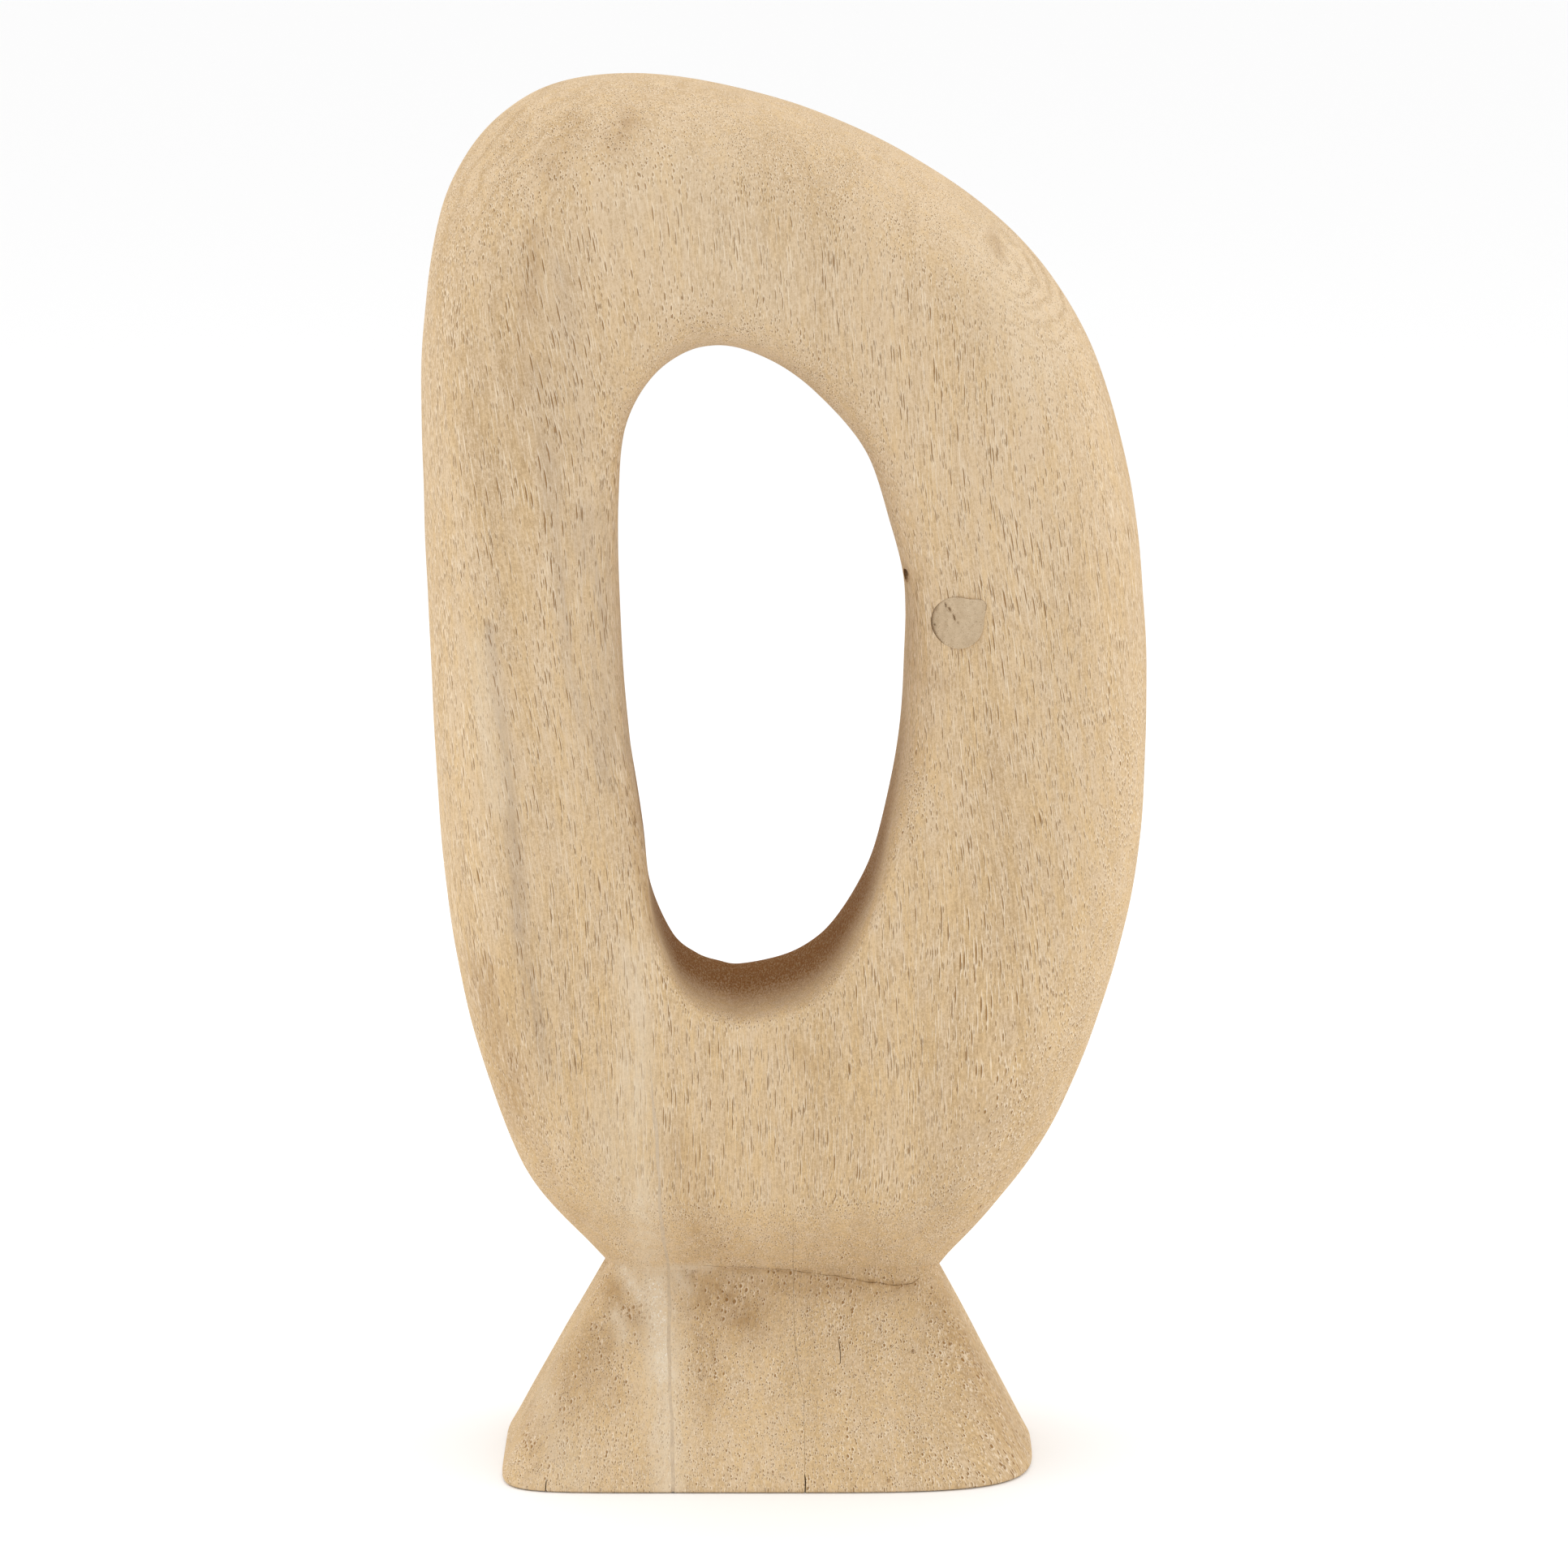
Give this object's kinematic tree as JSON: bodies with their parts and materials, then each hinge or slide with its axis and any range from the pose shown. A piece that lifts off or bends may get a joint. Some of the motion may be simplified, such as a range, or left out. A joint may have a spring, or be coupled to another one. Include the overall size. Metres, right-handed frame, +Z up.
{
  "type": "carved wooden loop sculpture",
  "caption": "Free-standing abstract figure: a tall lopsided open loop of bare wood on a flared foot, with a plugged knot and a filled drying check.",
  "frame": {"origin": "middle of the overall footprint, on the surface it stands on", "axes": "+Z up; -Y is the front, the side with the knot plug; +X is the viewer's right; the hole runs along Y"},
  "size_m": [0.2056, 0.0928, 0.4],
  "materials": {
    "bare_hardwood": "bare sanded open-grained light hardwood, matt",
    "knot_wood": "bare, greyer and smoother than the wood round it",
    "pale_filler": "chalky pale wood filler, sanded matt"
  },
  "bodies": {
    "root": {"carved_body": "bare_hardwood", "knot_plug": "knot_wood", "check_filler": "pale_filler"}
  },
  "joints": []
}
